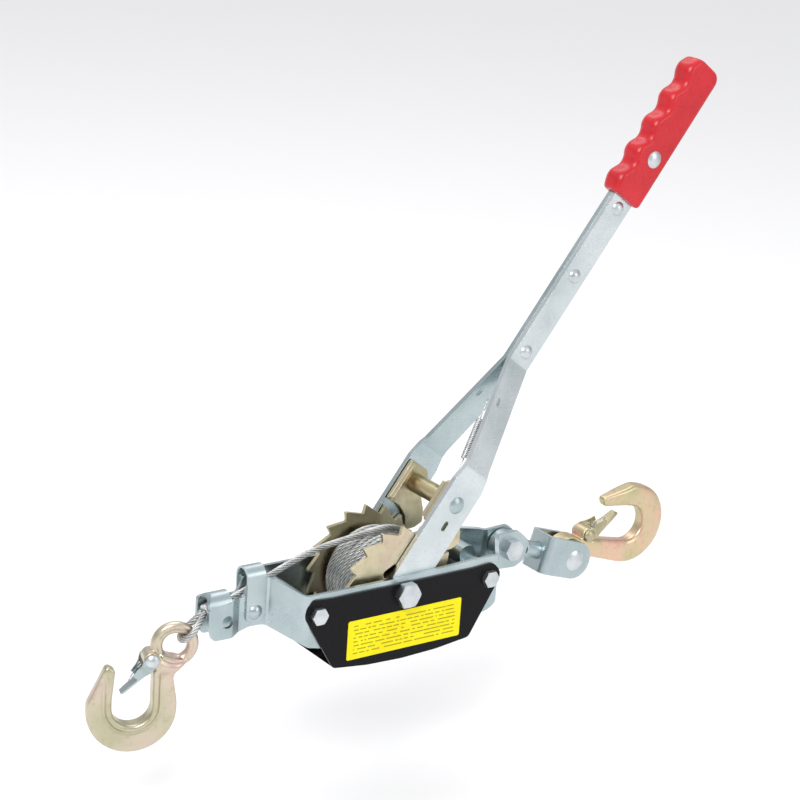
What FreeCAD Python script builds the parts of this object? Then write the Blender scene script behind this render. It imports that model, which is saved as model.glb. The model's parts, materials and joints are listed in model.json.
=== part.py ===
"""Come along winch: a hand ratchet puller with two hooks and a wire rope.

The working frame has its centre on the drum axle: X runs along the frame towards the
anchor hook, Y across it and Z up. SHIFT then moves the origin to the anchor hook's throat.
"""
import FreeCAD, Part
import os
from math import acos, asin, cos, hypot, pi, radians, sin, tan
from FreeCAD import Placement, Rotation, Vector

doc = FreeCAD.newDocument("come_along_winch")

SIZES = [
    ("plate_thick", 2.8, "side plate sheet"),
    ("plate_outer", 32.2, "half width over the side plates"),
    ("cover_thick", 1.5, "belly cover sheet"),
    ("axle_radius", 6.0, "drum axle bolt"),
    ("run_clear", 0.06, "radial running clearance"),
    ("bolt_x", 74.0, "cover bolts from the axle along X"),
    ("bolt_z", -2.0, "cover bolts above the axle"),
    ("bolt_radius", 4.0, "cover bolts"),
    ("spacer_radius", 7.0, "tubes between the side plates"),
    ("wheel_radius", 47.2, "ratchet wheel over its teeth"),
    ("wheel_root", 40.8, "ratchet wheel at its tooth roots"),
    ("wheel_thick", 3.0, "ratchet wheel sheet"),
    ("wheel_mid", 23.1, "ratchet wheel's middle from the centre plane"),
    ("teeth", 17, "ratchet teeth"),
    ("first_tooth", 26.0, "angle of the tooth under the drive pawl"),
    ("core_radius", 28.0, "drum tube"),
    ("core_wall", 3.5, "drum tube wall"),
    ("winding_radius", 35.0, "outside of the wound rope"),
    ("rope_radius", 2.4, "wire rope"),
    ("handle_tilt", 53.4, "handle above the frame's line"),
    ("bar_thick", 4.0, "handle bar"),
    ("bar_outer", 29.2, "half width over the handle's fork"),
    ("bar_half", 14.5, "half width of a bar at the fork"),
    ("bar_end", 424.0, "bar's far end from the axle"),
    ("pawl_reach", 72.0, "drive pawl's pin from the axle"),
    ("pin_radius", 4.5, "drive pawl's pin"),
    ("tube_radius", 7.0, "drive pawl's tube"),
    ("pawl_thick", 3.2, "drive pawl plate"),
    ("pawl_mid", 23.0, "drive pawl plate's middle from the centre plane"),
    ("grip_start", 326.0, "grip's lower end from the axle"),
    ("grip_end", 442.0, "grip's upper end from the axle"),
    ("grip_thick", 18.0, "grip across the bars"),
    ("neck_x", 112.5, "swivel bolt along X"),
    ("neck_z", 4.5, "swivel bolt above the axle"),
    ("droop", 17.5, "swivel and clevis below the frame's line"),
    ("clevis_web", 33.0, "swivel bolt to the clevis web"),
    ("clevis_pin", 62.2, "swivel bolt to the clevis rivet"),
    ("clevis_half", 14.5, "half height of the clevis"),
    ("hook_thick", 13.0, "forged hook"),
    ("eye_mid", 12.6, "load hook's ring, middle of its section"),
    ("eye_section", 4.2, "load hook's ring, radius of its section"),
    ("load_x", -167.9, "load hook's ring along X"),
    ("load_z", -17.7, "load hook's ring above the axle"),
    ("load_turn", -18.0, "load hook's turn about the vertical"),
    ("latch_wide", 16.0, "latch over its cheeks"),
    ("latch_sheet", 1.2, "latch sheet"),
    ("latch_pin", 2.5, "latch rivet"),
    ("release", 11.0, "holding pawl held clear of the teeth"),
]

sheet = doc.addObject("Spreadsheet::Sheet", "sizes")
for row, (alias, value, words) in enumerate(SIZES, start=1):
    sheet.set(f"A{row}", str(value))
    sheet.set(f"B{row}", words)
    sheet.setAlias(f"A{row}", alias)
doc.recompute()


def size(alias):
    """The value of one cell of the sheet."""
    return float(sheet.get(alias))


LINE = Rotation(Vector(0, 1, 0), -size("handle_tilt"))
DROOP = Rotation(Vector(0, 1, 0), size("droop"))
NECK = Vector(size("neck_x"), 0, size("neck_z"))
ANCHOR_EYE = NECK + DROOP.multVec(Vector(size("clevis_pin"), 0, 0))
ANCHOR_LIFT = -77.5
ANCHOR_TURN = Rotation(Vector(0, 1, 0), ANCHOR_LIFT).multiply(Rotation(Vector(0, 0, 1), 180))
ANCHOR_DROP = 10.0
THROAT = Vector(-29, 0, -43 - ANCHOR_DROP)
SHIFT = -(ANCHOR_EYE + ANCHOR_TURN.multVec(THROAT))
LOAD_EYE = Vector(size("load_x"), 0, size("load_z"))
LOAD_TURN = Rotation(Vector(0, 0, 1), size("load_turn"))
FAR = 300.0
parts = []


# ---------------------------------------------------------------- helpers

def place(obj, label, base=Vector(0, 0, 0), turn=Rotation(), keep=True):
    """Put a finished sub-part where it belongs and list it for export."""
    obj.Label = label
    obj.Placement = Placement(base + SHIFT, turn)
    if keep:
        parts.append(obj)
    return obj


def new_body(label, base=Vector(0, 0, 0), turn=Rotation()):
    return place(doc.addObject("PartDesign::Body", label), label, base, turn)


def sketch_on(body, role, offset=0.0):
    """An empty sketch on one of the body's own origin planes."""
    sketch = body.newObject("Sketcher::SketchObject", "outline")
    plane = [p for p in body.Origin.OriginFeatures if p.Role == role][0]
    sketch.AttachmentSupport = [(plane, "")]
    sketch.MapMode = "FlatFace"
    sketch.AttachmentOffset = Placement(Vector(0, 0, offset), Rotation())
    return sketch


def corner(before, here, after, radius):
    """The two ends and the middle of the arc that rounds one corner."""
    to_a = Vector(before[0] - here[0], before[1] - here[1], 0).normalize()
    to_b = Vector(after[0] - here[0], after[1] - here[1], 0).normalize()
    half = to_a.getAngle(to_b) / 2
    tip = Vector(here[0], here[1], 0)
    reach = radius / tan(half)
    inward = (to_a + to_b).normalize()
    middle = tip + inward * (radius / sin(half) - radius)
    return tip + to_a * reach, middle, tip + to_b * reach


def outline(sketch, points):
    """A closed outline of straight runs; a third number on a point rounds its corner."""
    count = len(points)
    joints = []
    for i, point in enumerate(points):
        if len(point) == 3 and point[2] > 0:
            joints.append(corner(points[i - 1], point, points[(i + 1) % count], point[2]))
        else:
            joints.append((Vector(point[0], point[1], 0),))
    for i, joint in enumerate(joints):
        if len(joint) == 3:
            sketch.addGeometry(Part.Arc(*joint))
        start = joint[-1]
        end = joints[(i + 1) % count][0]
        if start.distanceToPoint(end) > 1e-4:
            sketch.addGeometry(Part.LineSegment(start, end))


def circle(sketch, x, y, radius):
    sketch.addGeometry(Part.Circle(Vector(x, y, 0), Vector(0, 0, 1), radius))


def slot(sketch, x, y, width, length, angle):
    """A rounded slot whose length runs at the given angle."""
    way = Vector(cos(radians(angle)), sin(radians(angle)), 0)
    half = way * ((length - width) / 2)
    tip = way * (width / 2)
    side = Vector(-tip.y, tip.x, 0)
    centre = Vector(x, y, 0)
    sketch.addGeometry(Part.Arc(centre + half + side, centre + half + tip, centre + half - side))
    sketch.addGeometry(Part.Arc(centre - half - side, centre - half - tip, centre - half + side))
    sketch.addGeometry(Part.LineSegment(centre + half - side, centre - half - side))
    sketch.addGeometry(Part.LineSegment(centre - half + side, centre + half + side))


def raise_both_ways(body, sketch, kind, length):
    """A pad or pocket that runs the same way to both sides of its sketch."""
    feature = body.newObject("PartDesign::" + kind, kind.lower())
    feature.Profile = sketch
    feature.SideType = "Symmetric"
    if isinstance(length, str):
        feature.setExpression("Length", length)
    else:
        feature.Length = length
    body.Tip = feature
    return feature


def pad(body, sketch, length):
    return raise_both_ways(body, sketch, "Pad", length)


def cut(body, sketch, length=2 * FAR):
    return raise_both_ways(body, sketch, "Pocket", length)


def trim(body, role, points):
    """Cut away everything outside an outline."""
    sketch = sketch_on(body, role)
    outline(sketch, [(-2 * FAR, -FAR), (2 * FAR, -FAR), (2 * FAR, FAR), (-2 * FAR, FAR)])
    outline(sketch, points)
    cut(body, sketch)


def drill(body, holes, role="XZ_Plane"):
    """Round holes right through: each is (x, z, radius)."""
    sketch = sketch_on(body, role)
    for x, z, radius in holes:
        circle(sketch, x, z, radius)
    cut(body, sketch)


def strip(line, thick, bend):
    """The outline of bent sheet: a line of points and the same line moved by its thickness."""
    def moved(i):
        here = Vector(line[i][0], line[i][1], 0)
        sides = []
        for a, b in ((i - 1, i), (i, i + 1)):
            if a >= 0 and b < len(line):
                run = Vector(line[b][0] - line[a][0], line[b][1] - line[a][1], 0).normalize()
                sides.append(Vector(-run.y, run.x, 0))
        middle = sides[0] if len(sides) == 1 else (sides[0] + sides[1]).normalize()
        return here + middle * (thick / middle.dot(sides[0]))

    first = []
    second = []
    for i, (x, y) in enumerate(line):
        other = moved(i)
        if 0 < i < len(line) - 1:
            before = Vector(x - line[i - 1][0], y - line[i - 1][1], 0)
            after = Vector(line[i + 1][0] - x, line[i + 1][1] - y, 0)
            left = before.cross(after).z > 0
            first.append((x, y, bend + thick if left else bend))
            second.append((other.x, other.y, bend if left else bend + thick))
        else:
            first.append((x, y))
            second.append((other.x, other.y))
    return first + second[::-1]


def ease_edges(body, kind, amount, wanted):
    """Fillet or chamfer the edges of the body's last feature that the given test picks."""
    doc.recompute()
    base = body.Tip
    names = []
    for i, edge in enumerate(base.Shape.Edges, start=1):
        if wanted(edge):
            names.append(f"Edge{i}")
    eased = body.newObject("PartDesign::" + kind, kind.lower())
    eased.Base = (base, names)
    if kind == "Fillet":
        eased.Radius = amount
    else:
        eased.Size = amount
    body.Tip = eased
    return eased


def on_handle(reach, off):
    """A point along the handle, and off its line, in the frame's X and Z."""
    tilt = radians(size("handle_tilt"))
    return reach * cos(tilt) - off * sin(tilt), reach * sin(tilt) + off * cos(tilt)


def rod(start, end, radius):
    return Part.makeCylinder(radius, start.distanceToPoint(end), start, end - start)


def dome(centre, way, radius, height):
    """A domed rivet head: the cap of a ball that stands on its flat."""
    ball = (radius * radius + height * height) / (2 * height)
    sphere = Part.makeSphere(ball, centre + way * (height - ball))
    keep = Part.makeCylinder(radius + 1, height + 1, centre, way)
    return sphere.common(keep)


def rivet(centre, half_grip, radius, head_radius, head_height):
    """A rivet across Y with a domed head at each end."""
    across = Vector(0, 1, 0)
    body = rod(centre - across * half_grip, centre + across * half_grip, radius)
    near = dome(centre - across * half_grip, -across, head_radius, head_height)
    far = dome(centre + across * half_grip, across, head_radius, head_height)
    return body.fuse([near, far]).removeSplitter()


def hex_prism(centre, way, flats, height):
    """A hexagon with its corners eased on the outer face."""
    corner_radius = flats / 2 / cos(radians(30))
    points = []
    for i in range(7):
        angle = radians(60 * i)
        points.append(Vector(corner_radius * cos(angle), corner_radius * sin(angle), 0))
    prism = Part.Face(Part.makePolygon(points)).extrude(Vector(0, 0, height))
    ease = Part.makeCone(corner_radius + height * 2.2, corner_radius - 0.12 * corner_radius, height + 0.001)
    prism = prism.common(ease)
    prism.Placement = Placement(centre, Rotation(Vector(0, 0, 1), way))
    return prism


def feature(label, shape, base=Vector(0, 0, 0), turn=Rotation()):
    obj = doc.addObject("Part::Feature", label)
    obj.Shape = shape
    return place(obj, label, base, turn)


# ---------------------------------------------------------------- frame

half = size("plate_outer")
sheet_thick = size("plate_thick")
bolts = [(-size("bolt_x"), size("bolt_z")), (size("bolt_x"), size("bolt_z"))]
NECK_OUTER = 8.2
WAIST_OUTER = 6.2
NOSE_OUTER = 9.2
CLIP_X = -108.5
CLIP_Z = -3.0
NOSE_HOLE = (-131.5, -5.5, 4.6)

PLAN = [(-147, NOSE_OUTER), (-128, NOSE_OUTER), (-121, WAIST_OUTER), (-98, WAIST_OUTER), (-82, half),
        (83, half), (100, NECK_OUTER), (128, NECK_OUTER)]
PLATE_TOP = [(-126, 9.5, 3), (-117, 9.5, 4), (-113, 20.5, 3), (-97, 20.5, 5), (-83, 12.5, 10),
             (0, 12.2), (60, 14, 20), (84, 13.6, 12), (95, 16.8, 8), (119, 17.6, 5), (127.3, 10, 6)]
PLATE_BOTTOM = [(127.3, -6, 6), (118, -11, 6), (101, -10, 12), (76, -28, 14), (58, -31, 15),
                (-58, -31, 15), (-80, -26, 14), (-101, -14, 12), (-113, -13.5, 10), (-128, -18, 6)]


def side_plate(label, side, nose):
    """One cheek of the frame: wide at the drum, drawn in to a neck at each end."""
    body = new_body(label)
    plan = sketch_on(body, "XY_Plane")
    line = [(x, side * y) for x, y in PLAN]
    if side > 0:
        line = line[::-1]
    outline(plan, strip(line, sheet_thick, 2.5))
    pad(body, plan, 120)
    trim(body, "XZ_Plane", PLATE_TOP + PLATE_BOTTOM + nose)
    holes = [(0, 0, size("axle_radius") + 0.02), (CLIP_X, CLIP_Z, 3.02), NOSE_HOLE,
             (size("neck_x"), size("neck_z"), size("axle_radius") + 0.02)]
    for x, z in bolts:
        holes.append((x, z, size("bolt_radius") + 0.02))
    drill(body, holes)
    return body


near_plate = side_plate("near_side_plate", -1, [(-143, -17.6, 4), (-147, -6, 5), (-147, 5.6)])
HOOD_LONG = 18
hood = sketch_on(near_plate, "YZ_Plane", -137.2)
inner = NOSE_OUTER - sheet_thick
hood_end = radians(52)
hood_z = 5.6
hood_outer = (NOSE_OUTER * cos(hood_end), hood_z + NOSE_OUTER * sin(hood_end))
hood_inner = (inner * cos(hood_end), hood_z + inner * sin(hood_end))
hood.addGeometry(Part.Arc(Vector(-NOSE_OUTER, hood_z, 0), Vector(0, hood_z + NOSE_OUTER, 0),
                          Vector(*hood_outer, 0)))
hood.addGeometry(Part.Arc(Vector(-inner, hood_z, 0), Vector(0, hood_z + inner, 0), Vector(*hood_inner, 0)))
hood.addGeometry(Part.LineSegment(Vector(-NOSE_OUTER, hood_z, 0), Vector(-NOSE_OUTER, hood_z - 2, 0)))
hood.addGeometry(Part.LineSegment(Vector(-NOSE_OUTER, hood_z - 2, 0), Vector(-inner, hood_z - 2, 0)))
hood.addGeometry(Part.LineSegment(Vector(-inner, hood_z - 2, 0), Vector(-inner, hood_z, 0)))
hood.addGeometry(Part.LineSegment(Vector(*hood_outer, 0), Vector(*hood_inner, 0)))
pad(near_plate, hood, HOOD_LONG)
trim(near_plate, "XZ_Plane", [(-146.9, -40), (-146.9, 16, 10.5), (-120, 16), (-120, 40), (140, 40),
                              (140, -40)])

side_plate("far_side_plate", 1, [(-143, -17.6, 4), (-147, -6, 5), (-147, 11, 3), (-130, 11, 3)])

# The belly cover is one sheet folded into a trough below the drum.
FLOOR = [(59, -45.4), (30, -48.8), (0, -49.9), (-30, -48.8), (-59, -45.4)]

COVER_TOP = [(-86, 0, 9), (-77, 9.4, 7), (-60, 8.2, 20), (60, 8.2, 20), (77, 9.4, 7), (86, 0, 9)]


def trough_floor(raised):
    """The trough's floor line, raised by so much, from the anchor end to the load end."""
    line = []
    for x, z in FLOOR:
        line.append((x, z + raised, 5 if abs(x) > 50 else 40))
    return line


cover = new_body("belly_cover")
cover_sketch = sketch_on(cover, "XZ_Plane")
outline(cover_sketch, COVER_TOP + trough_floor(0))
pad(cover, cover_sketch, "2 * (sizes.plate_outer + sizes.cover_thick)")
hollow = sketch_on(cover, "XZ_Plane")
outline(hollow, [(-100, 20), (100, 20), (100, -40.5)] + trough_floor(size("cover_thick")) + [(-100, -40.5)])
cut(cover, hollow, "2 * sizes.plate_outer")
drill(cover, [(0, 0, size("axle_radius") + 0.02)] + [(x, z, size("bolt_radius") + 0.02) for x, z in bolts])

label = new_body("label_plate", Vector(0, -half - size("cover_thick") - 0.15, 0))
label_sketch = sketch_on(label, "XZ_Plane")
outline(label_sketch, [(-48, -12.3, 1.5), (50, -12.3, 1.5), (50, -42.0, 1.5), (-48, -42.0, 1.5)])
pad(label, label_sketch, 0.3)


def bolt_shape(x, z, flats, head_height, radius, end):
    """A hex bolt across the frame whose head is on the near side."""
    face = -half - size("cover_thick") if end is None else -end
    head = hex_prism(Vector(x, face, z), Vector(0, -1, 0), flats, head_height)
    shank = rod(Vector(x, face, z), Vector(x, -face + head_height + 2.5, z), radius)
    return head.fuse(shank).removeSplitter()


def nut_shape(x, z, flats, height, radius, end):
    face = half + size("cover_thick") if end is None else end
    nut = hex_prism(Vector(x, face, z), Vector(0, 1, 0), flats, height)
    return nut.cut(rod(Vector(x, face - 1, z), Vector(x, face + height + 1, z), radius))


axle = size("axle_radius")
AXLE_FLATS = 17
NECK_FLATS = 14.5
COVER_FLATS = 11.5
feature("axle_bolt", bolt_shape(0, 0, AXLE_FLATS, 6.2, axle, None))
feature("axle_nut", nut_shape(0, 0, AXLE_FLATS, 8.5, axle, None))
feature("cover_bolts", Part.makeCompound(
    [bolt_shape(x, z, COVER_FLATS, 4.2, size("bolt_radius"), None) for x, z in bolts]))
feature("cover_nuts", Part.makeCompound(
    [nut_shape(x, z, COVER_FLATS, 6.0, size("bolt_radius"), None) for x, z in bolts]))
inside = half - sheet_thick
spacers = []
for x, z in bolts:
    outer = rod(Vector(x, -inside, z), Vector(x, inside, z), size("spacer_radius"))
    spacers.append(outer.cut(rod(Vector(x, -FAR, z), Vector(x, FAR, z), size("bolt_radius"))))
feature("frame_spacers", Part.makeCompound(spacers))
feature("neck_bolt", bolt_shape(size("neck_x"), size("neck_z"), NECK_FLATS, 6.2, axle, NECK_OUTER))
feature("neck_nut", nut_shape(size("neck_x"), size("neck_z"), NECK_FLATS, 7.0, axle, NECK_OUTER))

# The rope guide is a strap bent over the front neck, with one rivet through both its legs.
CLIP_SHEET = 1.6
CLIP_TOP = 22.0
clip = new_body("rope_guide_clip", Vector(CLIP_X, 0, 0))
strap = sketch_on(clip, "YZ_Plane")
for radius in (WAIST_OUTER, WAIST_OUTER + CLIP_SHEET):
    strap.addGeometry(Part.Arc(Vector(radius, CLIP_TOP, 0), Vector(0, CLIP_TOP + radius, 0),
                               Vector(-radius, CLIP_TOP, 0)))
for side in (-1, 1):
    a = side * WAIST_OUTER
    b = side * (WAIST_OUTER + CLIP_SHEET)
    strap.addGeometry(Part.LineSegment(Vector(a, CLIP_TOP, 0), Vector(a, -11, 0)))
    strap.addGeometry(Part.LineSegment(Vector(a, -11, 0), Vector(b, -11, 0)))
    strap.addGeometry(Part.LineSegment(Vector(b, -11, 0), Vector(b, CLIP_TOP, 0)))
pad(clip, strap, 15)
trim(clip, "XZ_Plane", [(-8, 40), (8, 40), (8, -11, 7), (-8, -11, 7)])
drill(clip, [(0, CLIP_Z, 3.02)])
feature("guide_clip_rivet", rivet(Vector(CLIP_X, 0, CLIP_Z), WAIST_OUTER + CLIP_SHEET, 3.0, 5.4, 2.6))

# ---------------------------------------------------------------- drum

pitch = 360 / size("teeth")


def ratchet_wheel(label, side):
    """A sheet wheel with saw teeth: each steep face takes a pawl, each back slopes away."""
    body = new_body(label, Vector(0, side * size("wheel_mid"), 0))
    sketch = sketch_on(body, "XZ_Plane")
    points = []
    for i in range(int(size("teeth"))):
        tip = radians(size("first_tooth") + i * pitch)
        root = tip + radians(2.0)
        crest = tip - radians(1.4)
        points.append((size("wheel_radius") * cos(crest), size("wheel_radius") * sin(crest)))
        points.append((size("wheel_radius") * cos(tip), size("wheel_radius") * sin(tip)))
        points.append((size("wheel_root") * cos(root), size("wheel_root") * sin(root), 0.8))
    outline(sketch, points)
    circle(sketch, 0, 0, axle + size("run_clear"))
    slot(sketch, -8, 15, 6, 13, 28)
    pad(body, sketch, "sizes.wheel_thick")
    return body


ratchet_wheel("near_ratchet_wheel", -1)
ratchet_wheel("far_ratchet_wheel", 1)
DRUM_LENGTH = 2 * size("wheel_mid") - size("wheel_thick")


def ring(label, outer, inner_radius, length, base=Vector(0, 0, 0), turn=Rotation()):
    """A plain tube across Y."""
    body = new_body(label, base, turn)
    sketch = sketch_on(body, "XZ_Plane")
    circle(sketch, 0, 0, outer)
    circle(sketch, 0, 0, inner_radius)
    pad(body, sketch, length)
    return body


ring("drum_core", size("core_radius"), size("core_radius") - size("core_wall"), DRUM_LENGTH)
ring("drum_sleeve", 10.0, axle + size("run_clear"), DRUM_LENGTH)
ring("wire_rope_winding", size("winding_radius"), size("core_radius"), DRUM_LENGTH - 0.6)

# ---------------------------------------------------------------- handle

BAR_SHOULDER = 88.0
BEND_START = 99.0
BEND_END = 183.0
BAR_INNER = size("bar_thick")
RIVETS = [193.5, 259.2, 318.0]
GRIP_RIVET = 362.0


def handle_bar(label, side):
    """A flat bar that spreads into one leg of the handle's fork."""
    body = new_body(label, Vector(0, 0, 0), LINE)
    plan = sketch_on(body, "XY_Plane")
    line = [(-20, size("bar_outer")), (BEND_START, size("bar_outer")), (BEND_END, BAR_INNER),
            (size("bar_end"), BAR_INNER)]
    line = [(x, side * y) for x, y in line]
    if side > 0:
        line = line[::-1]
    outline(plan, strip(line, size("bar_thick"), 6))
    pad(body, plan, 60)
    wide = size("bar_half")
    trim(body, "XZ_Plane", [(-wide, -wide, wide - 0.1), (BAR_SHOULDER, -wide, 8), (104, -11, 12), (185, -10, 60),
                            (size("bar_end"), -10, 3), (size("bar_end"), 10, 3), (185, 10, 60), (104, 11, 12),
                            (BAR_SHOULDER, wide, 8), (-wide, wide, wide - 0.1)])
    sketch = sketch_on(body, "XZ_Plane")
    circle(sketch, 0, 0, axle + size("run_clear"))
    circle(sketch, size("pawl_reach"), 0, size("pin_radius") + 0.02)
    for reach in RIVETS:
        circle(sketch, reach, 0, 3.02)
    circle(sketch, GRIP_RIVET, 0, 3.52)
    slot(sketch, 55, -1, 3.5, 8, 0)
    slot(sketch, 150.7, 5.5, 3.0, 6.5, 0)
    cut(body, sketch)
    return body


handle_bar("near_handle_bar", -1)
handle_bar("far_handle_bar", 1)
handle_rivets = [rivet(Vector(reach, 0, 0), size("bar_thick"), 3.0, 5.3, 2.6) for reach in RIVETS]
feature("handle_rivets", Part.makeCompound(handle_rivets), Vector(0, 0, 0), LINE)

grip = new_body("handle_grip", Vector(0, 0, 0), LINE)
grip_sketch = sketch_on(grip, "XZ_Plane")
start = size("grip_start")
finish = size("grip_end")
grip_points = [(finish, -12.5, 8), (start, -13.5, 3)]
WAVE = (finish - start) / 10
grip_points.append((start, 15, 3))
for i in range(1, 10):
    grip_points.append((start + i * WAVE, 20 if i % 2 else 12, 9.0))
grip_points.append((finish, 14, 7))
outline(grip_sketch, grip_points)
pad(grip, grip_sketch, "sizes.grip_thick")
ease_edges(grip, "Fillet", 2.5, lambda e: e.BoundBox.YLength < 0.01)
bore = sketch_on(grip, "XZ_Plane")
outline(bore, [(start - 5, -10), (size("bar_end"), -10, 3), (size("bar_end"), 10, 3), (start - 5, 10)])
cut(grip, bore, "2 * sizes.bar_thick")
drill(grip, [(GRIP_RIVET, 0, 3.52)])
feature("grip_rivet", rivet(Vector(GRIP_RIVET, 0, 0), size("grip_thick") / 2, 3.5, 6.3, 1.8),
        Vector(0, 0, 0), LINE)
feature("pawl_pivot_pin", rivet(Vector(size("pawl_reach"), 0, 0), size("bar_outer"), size("pin_radius"), 6.4, 2.2),
        Vector(0, 0, 0), LINE)

# The drive pawl's spring: a close coil with a straight hook end to the tab and to the bar's slot.
spring_low = Vector(91, -19.8, 7.2)
spring_high = Vector(149.5, -6.6, 9.2)
spring_way = (spring_high - spring_low).normalize()
coil_low = spring_low + spring_way * 13
coil_high = spring_low + spring_way * 44
spring_shape = rod(spring_low, spring_high, 0.6).fuse(rod(coil_low, coil_high, 2.6)).removeSplitter()
feature("drive_pawl_spring", spring_shape, Vector(0, 0, 0), LINE)

# ---------------------------------------------------------------- drive pawl

PAWL_LEG = [(29.5, 42.5, 2), (33.2, 37.5, 2), (35.2, 33.5), (36.4, 25.5), (36.9, 21.9), (45, 22.8, 1),
            (51.5, 26, 3), (51.6, 35.5, 8), (49, 46, 6)]


def pawl_plate(label, side, tab):
    """A pawl ear on the pin, its folded front flange and the leg that drives the wheel."""
    body = new_body(label, Vector(0, side * size("pawl_mid"), 0))
    sketch = sketch_on(body, "XZ_Plane")
    points = [(*on_handle(51.2, 13.8), 1.5)] + PAWL_LEG
    points += [(*on_handle(80, -9), 5)] + [(*on_handle(84.5, -3), 2)]
    if tab:
        points += [on_handle(84.5, 3), (*on_handle(95, 3), 1), (*on_handle(95, 10), 1), on_handle(84.5, 10)]
    points += [(*on_handle(84.5, 13.8), 2)]
    outline(sketch, points)
    pad(body, sketch, "sizes.pawl_thick")
    flange = sketch_on(body, "XZ_Plane", side * 2)
    outline(flange, [on_handle(53, 13.7), on_handle(82, 13.7), on_handle(82, 11.4), on_handle(53, 11.4)])
    pad(body, flange, 7.2)
    holes = [(*on_handle(size("pawl_reach"), 0), size("pin_radius") + size("run_clear"))]
    if tab:
        holes.append((*on_handle(91, 6.4), 1.4))
    drill(body, holes)
    return body


pawl_plate("near_pawl_plate", -1, True)
pawl_plate("far_pawl_plate", 1, False)
pin_x, pin_z = on_handle(size("pawl_reach"), 0)
ring("pawl_tube", size("tube_radius"), size("pin_radius") + size("run_clear"),
     2 * size("pawl_mid") - size("pawl_thick"), Vector(pin_x, 0, pin_z))

# ---------------------------------------------------------------- holding pawl

CLAW = [(74, 6.9), (60, 2, 12), (48, -13.8, 10), (41.8, -19, 3), (36.5, -24.7, 0.6), (41, -30.4, 1),
        (52, -27, 12), (72, -11)]
pivot = Vector(size("bolt_x"), 0, size("bolt_z"))
release_turn = Rotation(Vector(0, 1, 0), -size("release"))
holding = new_body("holding_pawl", pivot, release_turn)


def about_pivot(points):
    return [(p[0] - pivot.x, p[1] - pivot.z, *p[2:]) for p in points]


claw = sketch_on(holding, "XZ_Plane")
outline(claw, about_pivot(CLAW))
pad(holding, claw, 49)
gap = sketch_on(holding, "XZ_Plane")
outline(gap, [(-60, -60), (60, -60), (60, 60), (-60, 60)])
circle(gap, 0, 0, 9)
cut(holding, gap, 43)
hub = sketch_on(holding, "XZ_Plane")
circle(hub, 0, 0, 9)
pad(holding, hub, 49)
lever = sketch_on(holding, "XZ_Plane")
outline(lever, about_pivot([(66.5, -2), (66, 15, 6), (79, 15.5, 6), (81.6, -2)]))
pad(holding, lever, 20)
drill(holding, [(0, 0, size("spacer_radius") + size("run_clear"))])

# The pawl's spring sits between its hub and the far plate, inside the bend that draws the plate in.
spring_ring = rod(Vector(0, 24.9, 0), Vector(0, 27.0, 0), 8.5)
spring_ring = spring_ring.cut(rod(Vector(0, 0, 0), Vector(0, 40, 0), 7.3))
feature("holding_pawl_spring", spring_ring, pivot)

# ---------------------------------------------------------------- swivel and clevis

swivel = new_body("swivel_eye", NECK, DROOP)
eye_sketch = sketch_on(swivel, "XZ_Plane")
outline(eye_sketch, [(-11.5, -11.5, 11.4), (11, -11.5, 8), (20, -6.4), (20, 6.4), (11, 11.5, 8),
                     (-11.5, 11.5, 11.4)])
circle(eye_sketch, 0, 0, axle + size("run_clear"))
pad(swivel, eye_sketch, 9.8)
stem = sketch_on(swivel, "XY_Plane")
WEB_IN = size("clevis_web") + 4
HEAD_RADIUS = 7.3
outline(stem, [(19, 0), (19, 6.5), (WEB_IN + 0.1, 6.5), (WEB_IN + 0.1, HEAD_RADIUS),
               (WEB_IN + 5, HEAD_RADIUS, 2), (WEB_IN + 5, 0)])
turned = swivel.newObject("PartDesign::Revolution", "stem")
turned.Profile = stem
turned.ReferenceAxis = (stem, ["H_Axis"])
turned.Angle = 360
swivel.Tip = turned

clevis = new_body("clevis_bracket", NECK, DROOP)
clevis_plan = sketch_on(clevis, "XY_Plane")
leg_end = size("clevis_pin") + size("clevis_half")
web = size("clevis_web")
outline(clevis_plan, [(leg_end, 13.5), (web, 13.5, 6), (web, -13.5, 6), (leg_end, -13.5), (leg_end, -9.5),
                      (WEB_IN, -9.5, 2), (WEB_IN, 9.5, 2), (leg_end, 9.5)])
pad(clevis, clevis_plan, "2 * sizes.clevis_half")
tall = size("clevis_half")
trim(clevis, "XZ_Plane", [(web - 1, -tall), (leg_end, -tall, tall - 0.1), (leg_end, tall, tall - 0.1),
                          (web - 1, tall)])
drill(clevis, [(size("clevis_pin"), 0, 6.02)])
drill(clevis, [(0, 0, 6.5 + size("run_clear"))], "YZ_Plane")
feature("clevis_rivet", rivet(Vector(size("clevis_pin"), 0, 0), 13.5, 6.0, 8.2, 2.0), NECK, DROOP)

# ---------------------------------------------------------------- hooks

HOOK_EASE = 2.4
LOAD_PIVOT = (-16.3, -8.9)
ANCHOR_PIVOT = (-18.0, -14.0)


def hook_bowl(drop):
    """A forged hook seen face on: the mouth is on the -X side, the bowl below the eye."""
    points = [(9, -11), (-0.8, -22, 7), (2.4, -41 - drop, 20), (2.4, -77.6 - drop, 31.0),
              (-60, -77.6 - drop, 31.0), (-60, -40 - drop, 10), (-46.8, -11.8 - drop, 2.6),
              (-40.8, -15.6 - drop, 2.8), (-43, -36 - drop, 6), (-43, -57 - drop, 13.9),
              (-15, -57 - drop, 13.9), (-15, -18 - drop / 2, 4), (-10, -5)]
    return points


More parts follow.
